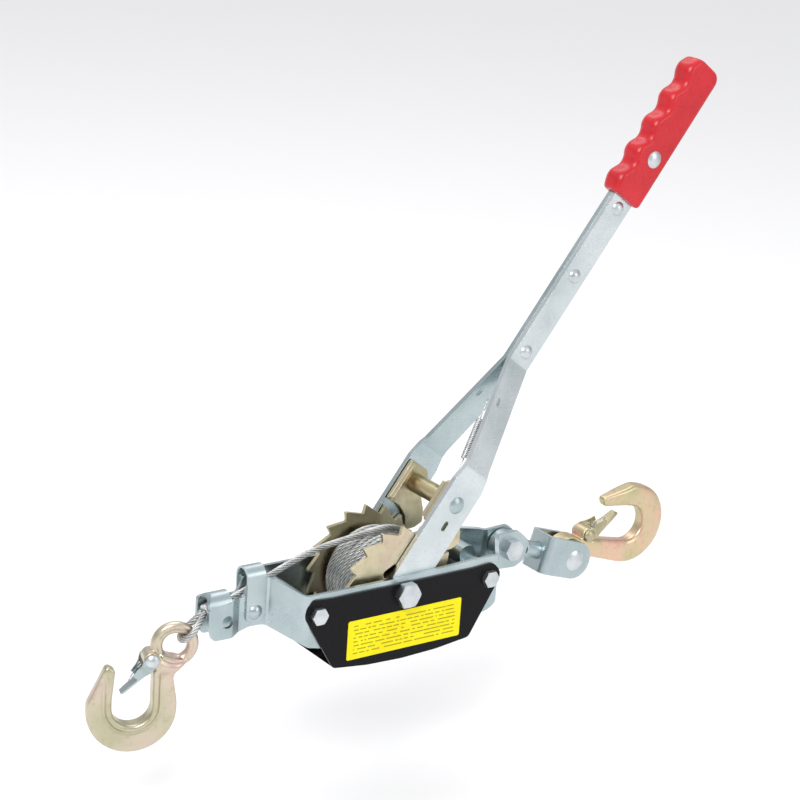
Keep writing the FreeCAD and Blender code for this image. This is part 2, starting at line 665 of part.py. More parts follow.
def hook(label, base, turn, drop, pin, ringed):
    body = new_body(label, base, turn)
    sketch = sketch_on(body, "XZ_Plane")
    outline(sketch, hook_bowl(drop))
    pad(body, sketch, "sizes.hook_thick")
    ease_edges(body, "Fillet", HOOK_EASE, lambda e: e.BoundBox.YLength < 0.01)
    lug = sketch_on(body, "XZ_Plane")
    circle(lug, pin[0], pin[1], 6.0)
    pad(body, lug, "sizes.hook_thick")
    if ringed:
        section = sketch_on(body, "XY_Plane")
        circle(section, size("eye_mid"), 0, size("eye_section"))
        turned_ring = body.newObject("PartDesign::Revolution", "eye")
        turned_ring.Profile = section
        turned_ring.ReferenceAxis = (section, ["V_Axis"])
        turned_ring.Angle = 360
        body.Tip = turned_ring
        clear = sketch_on(body, "XZ_Plane")
        circle(clear, 0, 0, size("eye_mid") - size("eye_section"))
        cut(body, clear)
    else:
        flat_eye = sketch_on(body, "XZ_Plane")
        circle(flat_eye, 0, 0, 16.5)
        pad(body, flat_eye, "sizes.hook_thick")
        drill(body, [(0, 0, 6.0 + size("run_clear"))])
    drill(body, [(pin[0], pin[1], size("latch_pin") + 0.02)])
    return body


def latch(label, base, turn):
    """A folded sheet latch: two cheeks on the rivet and a web that closes the mouth."""
    body = new_body(label, base, turn)
    sketch = sketch_on(body, "XZ_Plane")
    outline(sketch, [(-5, -5, 4.8), (-5, 5, 4.8), (10, 5.2, 3), (31.5, 3.4, 1), (32, 0.6, 0.8),
                     (14, -3.2, 8), (6, -5, 4)])
    pad(body, sketch, "sizes.latch_wide")
    opening = sketch_on(body, "XZ_Plane")
    outline(opening, [(-9, -9), (40, -9), (40, 1.2), (10.5, 3.8, 0.5), (10.5, 9), (-9, 9)])
    cut(body, opening, "sizes.latch_wide - 2 * sizes.latch_sheet")
    drill(body, [(0, 0, size("latch_pin") + size("run_clear"))])
    wide = size("latch_wide") / 2 + 0.1
    trim(body, "XY_Plane", [(-9, -wide), (11, -wide, 6), (31, -4.2, 2), (36, -4.2), (36, 4.2), (31, 4.2, 2),
                            (11, wide, 6), (-9, wide)])
    return body


def latch_set(name, base, turn, pin, aim):
    """The latch, its rivet and its wire spring, all on the hook's own frame."""
    pin_point = base + turn.multVec(Vector(pin[0], 0, pin[1]))
    aimed = turn.multiply(Rotation(Vector(0, 1, 0), -aim))
    latch(name + "_latch", pin_point, aimed)
    pin_shape = rivet(Vector(0, 0, 0), size("latch_wide") / 2 + 0.05, size("latch_pin"), 5.0, 2.2)
    feature(name + "_latch_rivet", pin_shape, pin_point, turn)
    wire = rod(Vector(7, 0, -3.2), Vector(25, 0, 1.0), 0.6)
    feature(name + "_latch_spring", wire, pin_point, aimed)


hook("load_hook", LOAD_EYE, LOAD_TURN, 0.0, LOAD_PIVOT, True)
latch_set("load", LOAD_EYE, LOAD_TURN, LOAD_PIVOT, 225.6)
hook("anchor_hook", ANCHOR_EYE, ANCHOR_TURN, ANCHOR_DROP, ANCHOR_PIVOT, False)
latch_set("anchor", ANCHOR_EYE, ANCHOR_TURN, ANCHOR_PIVOT, 230.0)

# ---------------------------------------------------------------- wire rope

rope = size("rope_radius")


def swept(wire, name):
    """A round tube along a wire, with its volume compared with section times length."""
    start_edge = wire.Edges[0]
    start_point = start_edge.valueAt(start_edge.FirstParameter)
    tangent = start_edge.tangentAt(start_edge.FirstParameter)
    section = Part.Wire(Part.Circle(start_point, tangent, rope).toShape())
    tube = wire.makePipeShell([section], True, False)
    print(name, "tube volume over section x length:", round(tube.Volume / (pi * rope ** 2 * wire.Length), 4))
    return tube


def rope_path(points, name):
    """Straight runs joined by arcs as large as the runs allow."""
    edges = []
    last = Vector(*points[0])
    for before, here, after in zip(points, points[1:], points[2:]):
        a = Vector(*before)
        b = Vector(*here)
        c = Vector(*after)
        to_a = (a - b).normalize()
        to_c = (c - b).normalize()
        half_turn = (pi - to_a.getAngle(to_c)) / 2
        reach = 0.45 * min(a.distanceToPoint(b), b.distanceToPoint(c))
        radius = reach / tan(half_turn)
        print(name, "radius", round(radius, 1))
        start_arc = b + to_a * reach
        end_arc = b + to_c * reach
        middle = b + (to_a + to_c).normalize() * (radius / cos(half_turn) - radius)
        edges.append(Part.LineSegment(last, start_arc).toShape())
        edges.append(Part.Arc(start_arc, middle, end_arc).toShape())
        last = end_arc
    edges.append(Part.LineSegment(last, Vector(*points[-1])).toShape())
    return edges


WRAP = 37.7
LEAVE = 96.2
wrap_start = radians(40)
wrap_mid = radians(70)
wrap_end = radians(LEAVE)


def on_wrap(angle):
    return Vector(WRAP * cos(angle), 0, WRAP * sin(angle))


FERRULE_IN = Vector(-131, 0, 5.6)
FERRULE_OUT = Vector(-145.5, 0, 1.5)
leave_point = on_wrap(wrap_end)
leave_way = Vector(-sin(wrap_end), 0, cos(wrap_end))
first_bend = leave_point + leave_way * 58
ROUTE = [tuple(leave_point), tuple(first_bend), (-111, 0, 12.0), tuple(FERRULE_IN)]
wrap_arc = Part.Arc(on_wrap(wrap_start), on_wrap(wrap_mid), leave_point).toShape()
run_wire = Part.Wire([wrap_arc] + rope_path(ROUTE, "wire_rope_run"))
feature("wire_rope_run", swept(run_wire, "wire_rope_run"))

ferrule = rod(FERRULE_IN, FERRULE_OUT, 5.2)
feature("rope_ferrule", ferrule)

# The loop leaves the ferrule, goes round the load hook's ring and comes back.
LOOP = 7.1
lift_ring = radians(42)
ring_way = LOAD_TURN.multVec(Vector(cos(lift_ring), 0, sin(lift_ring)))
ring_point = LOAD_EYE + ring_way * size("eye_mid")
loop_way = (FERRULE_OUT - ring_point)
loop_reach = loop_way.Length
loop_way.normalize()
side_way = LOAD_TURN.multVec(Vector(0, 1, 0))
side_way = (side_way - loop_way * side_way.dot(loop_way)).normalize()
LEG_APART = 2.45
far_reach = hypot(loop_reach, LEG_APART)
touch = acos(LOOP / far_reach) + asin(LEG_APART / far_reach)


def in_loop(along, side):
    return ring_point + loop_way * along + side_way * side


touch_a = in_loop(LOOP * cos(touch), LOOP * sin(touch))
touch_b = in_loop(LOOP * cos(touch), -LOOP * sin(touch))
loop_wire = Part.Wire([
    Part.LineSegment(in_loop(loop_reach, LEG_APART), touch_a).toShape(),
    Part.Arc(touch_a, in_loop(-LOOP, 0), touch_b).toShape(),
    Part.LineSegment(touch_b, in_loop(loop_reach, -LEG_APART)).toShape()])
feature("rope_eye_loop", swept(loop_wire, "rope_eye_loop").cut(ferrule))

# ---------------------------------------------------------------- check and write

doc.recompute()
for obj in doc.Objects:
    if "Invalid" in obj.State or "Error" in obj.State:
        raise RuntimeError(f"{obj.Name} of {obj.Label} failed: {obj.State}")
os.makedirs("parts", exist_ok=True)
for obj in parts:
    if obj.Shape.isNull() or not obj.Shape.isValid() or obj.Shape.Volume <= 0:
        raise RuntimeError(f"{obj.Label} has no valid shape")
    obj.Shape.exportStep(f"parts/{obj.Label}.step")
    print(obj.Label, round(obj.Shape.Volume), len(obj.Shape.Solids))
print("shift", SHIFT, "anchor eye", ANCHOR_EYE + SHIFT, "neck", NECK + SHIFT)
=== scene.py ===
"""Looks of the come along winch: finishes, laid rope, springs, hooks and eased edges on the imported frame.

Everything is in metres in the object's own frame. The places that the CAD settles, such as the drum axle
and the load hook's ring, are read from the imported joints.
"""

import json
from math import ceil, cos, exp, hypot, pi, radians, sin, sqrt

import bmesh
import bpy
from mathutils import Matrix, Vector


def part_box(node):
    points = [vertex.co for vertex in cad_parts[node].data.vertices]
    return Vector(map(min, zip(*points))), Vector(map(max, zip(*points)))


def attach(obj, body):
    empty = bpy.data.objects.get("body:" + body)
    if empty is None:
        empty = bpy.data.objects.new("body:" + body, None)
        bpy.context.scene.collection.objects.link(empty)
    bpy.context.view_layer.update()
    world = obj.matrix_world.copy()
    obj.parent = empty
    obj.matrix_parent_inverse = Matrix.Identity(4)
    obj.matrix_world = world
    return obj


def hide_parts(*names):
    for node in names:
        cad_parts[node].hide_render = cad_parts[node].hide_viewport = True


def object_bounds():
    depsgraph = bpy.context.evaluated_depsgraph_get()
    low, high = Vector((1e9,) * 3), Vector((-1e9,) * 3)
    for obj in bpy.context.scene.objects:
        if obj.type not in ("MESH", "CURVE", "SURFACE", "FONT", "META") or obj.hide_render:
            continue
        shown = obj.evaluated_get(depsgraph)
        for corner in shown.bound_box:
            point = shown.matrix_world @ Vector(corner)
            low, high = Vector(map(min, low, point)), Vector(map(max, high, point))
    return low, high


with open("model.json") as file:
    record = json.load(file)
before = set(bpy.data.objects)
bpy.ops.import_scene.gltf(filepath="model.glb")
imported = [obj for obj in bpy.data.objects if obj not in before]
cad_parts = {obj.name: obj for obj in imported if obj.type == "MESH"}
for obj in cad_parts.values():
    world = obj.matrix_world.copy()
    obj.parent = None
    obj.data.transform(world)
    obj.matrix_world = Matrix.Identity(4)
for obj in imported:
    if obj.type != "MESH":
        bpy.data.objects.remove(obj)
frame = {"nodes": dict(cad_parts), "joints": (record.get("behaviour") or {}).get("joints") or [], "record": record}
cad_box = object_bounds()
nodes = frame["nodes"]
MM = 0.001


def joint_place(name):
    """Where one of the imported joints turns."""
    for joint in frame["joints"]:
        if joint["name"] == name:
            return Vector(joint["pos_m"])
    raise ValueError(f"no joint {name}")


AXLE = joint_place("handle_swing")
LOAD_EYE = joint_place("load_hook_swing")
PAWL_PIVOT = joint_place("holding_pawl_tilt")
HANDLE_TILT = radians(53.4)
ANCHOR_EYE = joint_place("anchor_hook_swing")
LOAD_TURN = Matrix.Rotation(radians(-18.0), 3, "Z")
ANCHOR_TURN = Matrix.Rotation(radians(-77.5), 3, "Y") @ Matrix.Rotation(pi, 3, "Z")
ACROSS = Vector((0, 1, 0))


def from_axle(x, y, z):
    """A point given in millimetres from the drum axle."""
    return AXLE + Vector((x, y, z)) * MM


def on_handle(reach, across, off):
    """A point in millimetres along the handle, across it and off its line."""
    x = reach * cos(HANDLE_TILT) - off * sin(HANDLE_TILT)
    z = reach * sin(HANDLE_TILT) + off * cos(HANDLE_TILT)
    return from_axle(x, across, z)


# ---------------------------------------------------------------- finishes

class Finish:
    """A material under construction: each call adds one node and gives its output."""

    def __init__(self, name, metallic=0.0, coat=0.0, specular=0.5):
        self.material = bpy.data.materials.new(name)
        self.material.use_nodes = True
        self.tree = self.material.node_tree
        self.shader = self.tree.nodes["Principled BSDF"]
        self.shader.inputs["Metallic"].default_value = metallic
        self.shader.inputs["Coat Weight"].default_value = coat
        self.shader.inputs["Coat Roughness"].default_value = 0.08
        self.shader.inputs["Specular IOR Level"].default_value = specular
        self.place = self.tree.nodes.new("ShaderNodeTexCoord").outputs["Object"]
        self.last_bump = None

    def wire(self, source, target):
        self.tree.links.new(source, target)

    def noise(self, scale, detail=4.0, stretch=(1.0, 1.0, 1.0), turn=0.0):
        mapping = self.tree.nodes.new("ShaderNodeMapping")
        mapping.inputs["Scale"].default_value = stretch
        mapping.inputs["Rotation"].default_value = (0.0, turn, 0.0)
        self.wire(self.place, mapping.inputs["Vector"])
        texture = self.tree.nodes.new("ShaderNodeTexNoise")
        texture.inputs["Scale"].default_value = scale
        texture.inputs["Detail"].default_value = detail
        self.wire(mapping.outputs["Vector"], texture.inputs["Vector"])
        return texture.outputs[0]

    def ramp(self, factor, stops):
        node = self.tree.nodes.new("ShaderNodeValToRGB")
        elements = node.color_ramp.elements
        while len(elements) < len(stops):
            elements.new(0.5)
        for element, (position, colour) in zip(elements, stops):
            element.position = position
            element.color = (*colour, 1.0)
        self.wire(factor, node.inputs["Fac"])
        return node.outputs["Color"]

    def scaled(self, factor, low, high, start=0.3, end=0.7):
        node = self.tree.nodes.new("ShaderNodeMapRange")
        for socket, value in (("From Min", start), ("From Max", end), ("To Min", low), ("To Max", high)):
            node.inputs[socket].default_value = value
        self.wire(factor, node.inputs["Value"])
        return node.outputs["Result"]

    def math(self, kind, a, b):
        node = self.tree.nodes.new("ShaderNodeMath")
        node.operation = kind
        for socket, value in zip(node.inputs, (a, b)):
            if isinstance(value, (int, float)):
                socket.default_value = value
            else:
                self.wire(value, socket)
        return node.outputs[0]

    def blend(self, factor, a, b, kind="MIX"):
        node = self.tree.nodes.new("ShaderNodeMix")
        node.data_type = "RGBA"
        node.blend_type = kind
        sockets = [s for s in node.inputs if s.enabled and s.type == "RGBA"]
        amount = [s for s in node.inputs if s.enabled and s.name == "Factor"][0]
        for socket, value in ((amount, factor), (sockets[0], a), (sockets[1], b)):
            if isinstance(value, (int, float)):
                socket.default_value = value
            elif isinstance(value, tuple):
                socket.default_value = (*value, 1.0)
            else:
                self.wire(value, socket)
        return [s for s in node.outputs if s.enabled][0]

    def colour(self, output):
        self.wire(output, self.shader.inputs["Base Color"])

    def roughness(self, output):
        self.wire(output, self.shader.inputs["Roughness"])

    def bump(self, height, depth, strength=1.0):
        """Relief of the given depth in metres, over any relief added before."""
        node = self.tree.nodes.new("ShaderNodeBump")
        node.inputs["Strength"].default_value = strength
        node.inputs["Distance"].default_value = depth
        self.wire(height, node.inputs["Height"])
        if self.last_bump is not None:
            self.wire(self.last_bump, node.inputs["Normal"])
        self.last_bump = node.outputs["Normal"]
        self.wire(self.last_bump, self.shader.inputs["Normal"])


def plated(name, colours, rough, turn=0.0, rolled=0.00003, cloud=28.0):
    """Plated sheet or bar: a cloudy plating tint, rolling lines and small handling scratches."""
    f = Finish(name, metallic=1.0)
    tint = f.ramp(f.noise(cloud, 5.0), list(zip((0.32, 0.5, 0.68), colours)))
    specks = f.ramp(f.noise(900.0, 3.0), [(0.28, (0.86, 0.87, 0.88)), (0.42, (1.0, 1.0, 1.0))])
    f.colour(f.blend(1.0, tint, specks, "MULTIPLY"))
    cloudy = f.noise(30.0, 3.0)
    scratched = f.noise(420.0, 3.0, (0.06, 1.0, 1.0), turn)
    smear = f.math("ADD", cloudy, f.math("MULTIPLY", scratched, 0.4))
    f.roughness(f.scaled(smear, *rough, 0.4, 1.0))
    f.bump(f.noise(1400.0, 2.0, (0.03, 1.0, 1.0), turn), rolled, 0.5)
    f.bump(f.noise(330.0, 3.0), rolled * 1.6, 0.35)
    return f.material


def forged(name, colours, rough):
    """Forged and yellow-plated steel: hammer-scale relief, iridescent clouds and dull hollows."""
    f = Finish(name, metallic=1.0)
    tint = f.ramp(f.noise(24.0, 3.0), list(zip((0.36, 0.46, 0.55, 0.64), colours)))
    dull = f.ramp(f.noise(240.0, 5.0), [(0.3, (0.84, 0.83, 0.80)), (0.48, (1.0, 1.0, 1.0))])
    f.colour(f.blend(0.7, tint, dull, "MULTIPLY"))
    f.roughness(f.scaled(f.noise(90.0, 6.0), *rough))
    f.bump(f.noise(110.0, 4.0), 0.0005, 0.35)
    f.bump(f.noise(750.0, 4.0), 0.00008, 0.5)
    return f.material


def moulded_grip():
    """Red vinyl: glossy, with faint flow marks and a fine leathery skin."""
    f = Finish("red_vinyl", coat=0.12, specular=0.4)
    f.colour(f.ramp(f.noise(45.0, 4.0), [(0.3, (0.46, 0.006, 0.012)), (0.7, (0.57, 0.010, 0.020))]))
    f.roughness(f.scaled(f.noise(130.0, 5.0), 0.22, 0.36))
    f.shader.inputs["Subsurface Weight"].default_value = 0.04
    f.shader.inputs["Subsurface Radius"].default_value = (0.004, 0.001, 0.001)
    f.bump(f.noise(900.0, 3.0), 0.00006, 0.5)
    f.bump(f.noise(70.0, 3.0), 0.0004, 0.15)
    return f.material


def gloss_paint():
    """Black enamel: orange peel, dust specks and dull rub marks."""
    f = Finish("black_enamel", specular=0.13)
    f.colour(f.ramp(f.noise(1300.0, 2.0), [(0.66, (0.004, 0.004, 0.005)), (0.8, (0.03, 0.03, 0.032))]))
    rub = f.noise(26.0, 7.0, (0.4, 1.0, 1.0))
    f.roughness(f.scaled(rub, 0.2, 0.42, 0.4, 0.75))
    f.bump(f.noise(260.0, 2.0), 0.0001, 0.22)
    return f.material


LABEL_ROWS = 10
BAR_HALF = 0.17  # of its row's height
WORDS_SCALE = 330.0
ROW_SHIFT = (7.31, 3.7)  # so that no two rows are broken at the same places
GAP_LEVEL = 0.42
SIDE_MARGIN = 0.005
END_MARGIN = 0.0035


def printed_label():
    """Yellow foil with rows of plain blank bars where a maker would print a notice."""
    f = Finish("yellow_foil", specular=0.2)
    low, high = (Vector(corner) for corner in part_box("label_plate"))
    split = f.tree.nodes.new("ShaderNodeSeparateXYZ")
    f.wire(f.place, split.inputs[0])
    along = f.math("SUBTRACT", split.outputs["X"], low.x)
    up = f.math("SUBTRACT", split.outputs["Z"], low.z)
    rows = f.math("DIVIDE", up, (high.z - low.z) / LABEL_ROWS)
    row = f.math("FLOOR", rows, 0.0)
    in_row = f.math("ABSOLUTE", f.math("SUBTRACT", f.math("FRACT", rows, 0.0), 0.5), 0.0)
    bar = f.math("LESS_THAN", in_row, BAR_HALF)
    shifted = f.math("ADD", f.math("MULTIPLY", along, WORDS_SCALE), f.math("MULTIPLY", row, ROW_SHIFT[0]))
    join = f.tree.nodes.new("ShaderNodeCombineXYZ")
    f.wire(shifted, join.inputs["X"])
    f.wire(f.math("MULTIPLY", row, ROW_SHIFT[1]), join.inputs["Y"])
    words = f.tree.nodes.new("ShaderNodeTexNoise")
    words.inputs["Scale"].default_value = 1.0
    words.inputs["Detail"].default_value = 0.0
    f.wire(join.outputs[0], words.inputs["Vector"])
    word = f.math("GREATER_THAN", words.outputs[0], GAP_LEVEL)
    ink = f.math("MULTIPLY", bar, word)
    for distance, length, margin in ((along, high.x - low.x, SIDE_MARGIN), (up, high.z - low.z, END_MARGIN)):
        ink = f.math("MULTIPLY", ink, f.math("GREATER_THAN", distance, margin))
        ink = f.math("MULTIPLY", ink, f.math("LESS_THAN", distance, length - margin))
    foil = f.ramp(f.noise(55.0, 4.0), [(0.3, (0.78, 0.66, 0.002)), (0.7, (0.86, 0.75, 0.004))])
    f.colour(f.blend(f.math("MULTIPLY", ink, 0.7), foil, (0.16, 0.15, 0.01)))
    f.roughness(f.scaled(f.noise(150.0, 4.0), 0.25, 0.45))
    f.bump(f.noise(120.0, 3.0), 0.00012, 0.2)
    return f.material


# Each tint runs from its darkest cloud to its brightest.
ZINC = ((0.34, 0.42, 0.43), (0.41, 0.485, 0.50), (0.47, 0.54, 0.55))
# A paler copy of ZINC for the near handle bar: painted light, standing for the stronger light on that bar rather
# than a different plating.
NEAR_BAR_LIT_ZINC = ((0.48, 0.54, 0.55), (0.57, 0.62, 0.635), (0.65, 0.69, 0.70))
BOLT_ZINC = ((0.46, 0.50, 0.52), (0.55, 0.585, 0.60), (0.62, 0.65, 0.66))
GOLD = ((0.38, 0.35, 0.22), (0.49, 0.44, 0.29), (0.60, 0.54, 0.37), (0.57, 0.47, 0.36))
LOAD_GOLD = ((0.49, 0.46, 0.32), (0.55, 0.50, 0.37), (0.60, 0.52, 0.41), (0.64, 0.50, 0.43))
ANCHOR_GOLD = ((0.47, 0.44, 0.26), (0.57, 0.49, 0.30), (0.66, 0.50, 0.34), (0.75, 0.46, 0.37))
WIRE_GREY = ((0.40, 0.41, 0.40), (0.52, 0.53, 0.52), (0.62, 0.63, 0.62))
ALLOY_GREY = ((0.52, 0.53, 0.54), (0.62, 0.63, 0.64), (0.70, 0.71, 0.71))
SPRING_GREY = ((0.42, 0.43, 0.44), (0.56, 0.57, 0.58), (0.66, 0.67, 0.67))
FINISHES = {
    "zinc_steel": plated("bright_zinc", ZINC, (0.2, 0.42)),
    "gold_zinc": forged("yellow_zinc", GOLD, (0.26, 0.48)),
    "black_paint": gloss_paint(),
    "yellow_label": printed_label(),
    "red_grip": moulded_grip(),
    "rope_steel": plated("galvanised_wire", WIRE_GREY, (0.36, 0.56), rolled=0.00002, cloud=90.0),
    "ferrule_alloy": plated("swaged_alloy", ALLOY_GREY, (0.3, 0.5), cloud=90.0),
    "spring_steel": plated("drawn_spring_wire", SPRING_GREY, (0.22, 0.36), cloud=200.0),
}
# The near bar takes the paler copy of the zinc, which is painted light; the far bar keeps the plain zinc.
near_bar_lit_zinc = plated("painted_light_zinc_bar", NEAR_BAR_LIT_ZINC, (0.16, 0.36), turn=HANDLE_TILT)
far_bar_zinc = plated("bright_zinc_bar", ZINC, (0.16, 0.36), turn=HANDLE_TILT)
load_gold = forged("forged_pale_zinc", LOAD_GOLD, (0.26, 0.44))
anchor_gold = forged("forged_yellow_zinc", ANCHOR_GOLD, (0.24, 0.42))
bolt_zinc = plated("bright_zinc_bolt", BOLT_ZINC, (0.24, 0.44), cloud=120.0)

# The pawl tube takes the anchor hook's brighter gold as painted light: it stands for the strong light and top
# highlight on the tube, not for a different plating.
OWN_FINISH = {"near_handle_bar": near_bar_lit_zinc, "far_handle_bar": far_bar_zinc, "pawl_tube": anchor_gold}
for node in ("axle_bolt", "axle_nut", "cover_bolts", "cover_nuts", "handle_rivets", "grip_rivet",
             "load_latch_rivet", "clevis_rivet", "neck_bolt", "neck_nut"):
    OWN_FINISH[node] = bolt_zinc

slot_of = {part["node"]: part["material_slot"] for part in frame["record"]["subparts"]}
for node, obj in nodes.items():
    material = OWN_FINISH.get(node, FINISHES[slot_of[node]])
    for material_slot in obj.material_slots:
        material_slot.material = material

# ---------------------------------------------------------------- softened CAD edges

WELD_WITHIN = 0.000002
EASE = {  # how much each node's edges are rounded, in millimetres
    "near_side_plate": 0.45, "far_side_plate": 0.45, "belly_cover": 0.5, "label_plate": 0.08,
    "axle_bolt": 0.35, "axle_nut": 0.35, "cover_bolts": 0.3, "cover_nuts": 0.3, "frame_spacers": 0.3,
    "neck_bolt": 0.35, "neck_nut": 0.35, "rope_guide_clip": 0.35, "guide_clip_rivet": 0.15,
    "near_ratchet_wheel": 0.4, "far_ratchet_wheel": 0.4, "drum_core": 0.3, "drum_sleeve": 0.3,
    "near_handle_bar": 0.55, "far_handle_bar": 0.55, "handle_rivets": 0.15, "grip_rivet": 0.15,
    "pawl_pivot_pin": 0.2, "near_pawl_plate": 0.35, "far_pawl_plate": 0.35, "pawl_tube": 0.4,
    "holding_pawl": 0.45, "clevis_bracket": 0.8, "clevis_rivet": 0.2,
    "anchor_latch_rivet": 0.15, "load_latch_rivet": 0.15, "rope_ferrule": 0.6,
}


def ease(node, width):
    """Round a CAD node's sharp edges a little, so that they catch the light as worked metal does."""
    obj = nodes[node]
    weld = obj.modifiers.new("weld", "WELD")
    weld.merge_threshold = WELD_WITHIN
    flat = obj.modifiers.new("flatten", "DECIMATE")
    flat.decimate_type = "DISSOLVE"
    flat.angle_limit = radians(0.5)
    bevel = obj.modifiers.new("ease", "BEVEL")
    bevel.width = width * MM
    bevel.segments = 3
    bevel.limit_method = "ANGLE"
    bevel.angle_limit = radians(32)
    normals = obj.modifiers.new("normals", "WEIGHTED_NORMAL")
    normals.weight = 60


for node, width in EASE.items():
    ease(node, width)


def soften(obj, voxel, rounds):
    """Reskin a forged or moulded shape finely and relax it, so that its edges are round."""
    weld = obj.modifiers.new("weld", "WELD")
    weld.merge_threshold = WELD_WITHIN
    skin = obj.modifiers.new("skin", "REMESH")
    skin.mode = "VOXEL"
    skin.voxel_size = voxel * MM
    skin.use_smooth_shade = True
    relax = obj.modifiers.new("relax", "SMOOTH")
    relax.factor = 0.5
    relax.iterations = rounds


soften(nodes["swivel_eye"], 0.45, 4)

# ---------------------------------------------------------------- building helpers


def add_piece(name, mesh, body, slot, replaced):
    """A mesh that stands for CAD nodes: it rides on their body and takes their slot's finish."""
    obj = bpy.data.objects.new(name, mesh)
    bpy.context.collection.objects.link(obj)
    mesh.materials.append(FINISHES[slot])
    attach(obj, body)
    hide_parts(*replaced)
    return obj


def reskinned(node, voxel, rounds):
    """A fine, relaxed skin of a CAD node, as a mesh that can then be shaped."""
    copy = nodes[node].copy()
    copy.data = nodes[node].data.copy()
    bpy.context.collection.objects.link(copy)
    soften(copy, voxel, rounds)
    mesh = bpy.data.meshes.new_from_object(copy.evaluated_get(bpy.context.evaluated_depsgraph_get()))
    mesh.materials.clear()
    bpy.data.objects.remove(copy)
    return mesh


def ramp_up(value):
    """0 below 0, 1 above 1 and a smooth rise between."""
    value = min(max(value, 0.0), 1.0)
    return value * value * (3 - 2 * value)


def smooth_line(points):
    """The points of the NURBS line that has these control points."""
    curve = bpy.data.curves.new("route", "CURVE")
    curve.dimensions = "3D"
    curve.resolution_u = 10
    spline = curve.splines.new("NURBS")
    spline.points.add(len(points) - 1)
    for control, point in zip(spline.points, points):
        control.co = (*point, 1.0)
    spline.order_u = 3
    spline.use_endpoint_u = True
    holder = bpy.data.objects.new("route", curve)
    mesh = bpy.data.meshes.new_from_object(holder)
    line = [v.co.copy() for v in mesh.vertices]
    bpy.data.objects.remove(holder)
    bpy.data.curves.remove(curve)
    bpy.data.meshes.remove(mesh)
    return line


def even_steps(line, step):
    """The same line with its points an even distance apart."""
    lengths = [(b - a).length for a, b in zip(line, line[1:])]
    total = sum(lengths)
    count = max(2, ceil(total / step))
    points = []
    index = 0
    passed = 0.0
    for i in range(count + 1):
        target = total * i / count
        while index < len(lengths) - 1 and passed + lengths[index] < target:
            passed += lengths[index]
            index += 1
        share = (target - passed) / lengths[index] if lengths[index] else 0.0
        points.append(line[index].lerp(line[index + 1], min(share, 1.0)))
    return points


def frames_along(points):
    """Each point with two directions square to the line that turn as little as possible."""
    result = []
    side = None
    for i, point in enumerate(points):
        ahead = points[min(i + 1, len(points) - 1)] - points[max(i - 1, 0)]
        ahead.normalize()
        if side is None:
            side = ahead.orthogonal().normalized()
        side = (side - ahead * side.dot(ahead)).normalized()
        result.append((point, side, ahead.cross(side)))
    return result


def skin_rings(mesh_maker, rings):
    """Join rings of vertices into a tube with closed ends."""
    for ring_a, ring_b in zip(rings, rings[1:]):
        for i in range(len(ring_a)):
            j = (i + 1) % len(ring_a)
            face = mesh_maker.faces.new((ring_a[i], ring_a[j], ring_b[j], ring_b[i]))
            face.smooth = True
    mesh_maker.faces.new(rings[0][::-1])
    mesh_maker.faces.new(rings[-1])


def add_tube(mesh_maker, points, radius, sides=10):
    """A round wire along points."""
    rings = []
    for point, side, up in frames_along(points):
        ring = []
        for i in range(sides):
            angle = 2 * pi * i / sides
            ring.append(mesh_maker.verts.new(point + (side * cos(angle) + up * sin(angle)) * radius))
        rings.append(ring)
    skin_rings(mesh_maker, rings)


ROPE_RADIUS = 2.4
STRANDS = 6


def add_laid_rope(mesh_maker, points, radius, pitch, sides, wires):
    """Six strands laid round the line, each fluted by its own outer wires, over a plain core."""
    frames = frames_along(points)
    strand = radius * 0.345
    centre = radius - strand
    step = (points[1] - points[0]).length
    for k in range(STRANDS):
        rings = []
        for n, (point, side, up) in enumerate(frames):
            angle = 2 * pi * (k / STRANDS + n * step / pitch)
            out = side * cos(angle) + up * sin(angle)
            around = up * cos(angle) - side * sin(angle)
            middle = point + out * centre
            ring = []
            for i in range(sides):
                turn = 2 * pi * i / sides
                flute = 1.0 - 0.09 * (0.5 - 0.5 * cos(wires * (turn + 1.7 * angle))) if wires else 1.0
                way = out * cos(turn) + around * sin(turn)
                ring.append(mesh_maker.verts.new(middle + way * strand * flute))
            rings.append(ring)
        skin_rings(mesh_maker, rings)
    add_tube(mesh_maker, points, centre, 8)


def finish_mesh(name, mesh_maker):
    mesh = bpy.data.meshes.new(name)
    mesh_maker.normal_update()
    mesh_maker.to_mesh(mesh)
    mesh_maker.free()
    return mesh


def add_wire_piece(name, points, radius, body, node):
    """A round spring wire that stands for a CAD node."""
    wire = bmesh.new()
    add_tube(wire, points, radius * MM, 8)
    add_piece(name, finish_mesh(name, wire), body, "spring_steel", [node])


def add_rope_piece(name, route, step, lay, sides, wires, body, node):
    """A laid rope that stands for a CAD node and follows the smooth line of a route."""
    rope = bmesh.new()
    add_laid_rope(rope, even_steps(smooth_line(route), step * MM), ROPE_RADIUS * MM, lay, sides, wires)
    add_piece(name, finish_mesh(name, rope), body, "rope_steel", [node])


# ---------------------------------------------------------------- hooks

# Millimetres in a hook's own frame: its eye is the origin, its bowl hangs below and its mouth faces -X.
THROAT_RADIUS = 14.0
THROAT_FROM_EYE = 29.0
RIM_WIDE = 3.4
RIM_GROOVE = 5.9
RIM_FALL = 2.0
EYE_GROOVE = 13.0
GROOVE_HALF = 1.2
ANCHOR_BORE = 6.4
BOWL_WIDE = 19.0
PINS = {"load": (-16.3, -8.9), "anchor": (-18.0, -14.0)}
HOOKS = {
    "load": (LOAD_EYE, LOAD_TURN, -43.0, True, load_gold),
    "anchor": (ANCHOR_EYE, ANCHOR_TURN, -53.0, False, anchor_gold),
}


